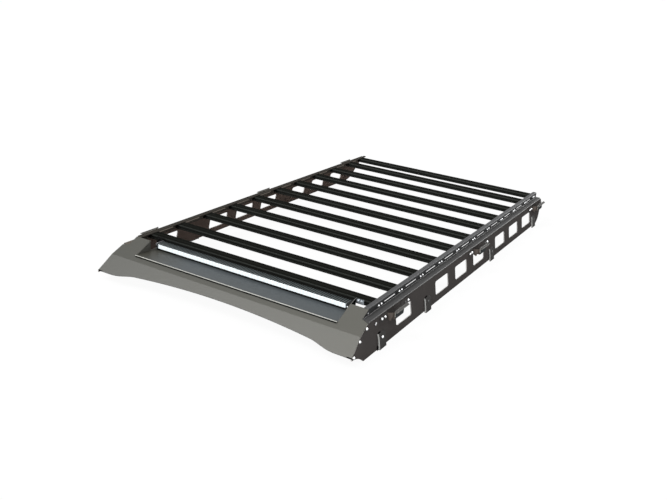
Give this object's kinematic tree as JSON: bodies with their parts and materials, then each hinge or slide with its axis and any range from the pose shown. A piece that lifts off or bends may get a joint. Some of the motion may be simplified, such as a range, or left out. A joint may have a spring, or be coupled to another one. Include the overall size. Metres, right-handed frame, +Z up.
{
  "type": "roof rack",
  "caption": "Full-length roof rack with slotted crossbars between folded side rails, windowed side plates and a front wind fairing with a light bar.",
  "frame": {"origin": "bottom centre of the rack's box, on the level its feet stand on", "axes": "+Z up, -Y towards the front with the fairing, +X towards the rack's right side as seen from the front"},
  "size_m": [1.4928, 2.564, 0.1798],
  "materials": {
    "rail": "satin black powder coat",
    "side_plate": "matt black powder coat",
    "crossbar": "black anodised",
    "fairing": "satin grey powder coat",
    "tray": "satin grey powder coat",
    "lamp_housing": "satin",
    "lamp_lens": "bright clear lens",
    "bracket": "satin black powder coat"
  },
  "bodies": {
    "root": {"side_rail_left": "rail", "side_rail_right": "rail", "side_plate_left": "side_plate", "side_plate_right": "side_plate", "crossbar_01": "crossbar", "crossbar_02": "crossbar", "crossbar_03": "crossbar", "crossbar_04": "crossbar", "crossbar_05": "crossbar", "crossbar_06": "crossbar", "crossbar_07": "crossbar", "crossbar_08": "crossbar", "crossbar_09": "crossbar", "crossbar_10": "crossbar", "crossbar_11": "crossbar", "wind_fairing": "fairing", "light_bar_tray": "tray", "light_bar_housing": "lamp_housing", "light_bar_lens": "lamp_lens", "light_bar_end_left": "lamp_housing", "light_bar_end_right": "lamp_housing", "light_bar_bracket_left": "bracket", "light_bar_bracket_right": "bracket", "side_bracket_left_front": "bracket", "side_bracket_left_middle": "bracket", "side_bracket_left_rear": "bracket", "side_bracket_right_front": "bracket", "side_bracket_right_middle": "bracket", "side_bracket_right_rear": "bracket", "foot_bracket_left_1": "bracket", "foot_bracket_left_2": "bracket", "foot_bracket_left_3": "bracket", "foot_bracket_left_4": "bracket", "foot_bracket_right_1": "bracket", "foot_bracket_right_2": "bracket", "foot_bracket_right_3": "bracket", "foot_bracket_right_4": "bracket"}
  },
  "joints": []
}
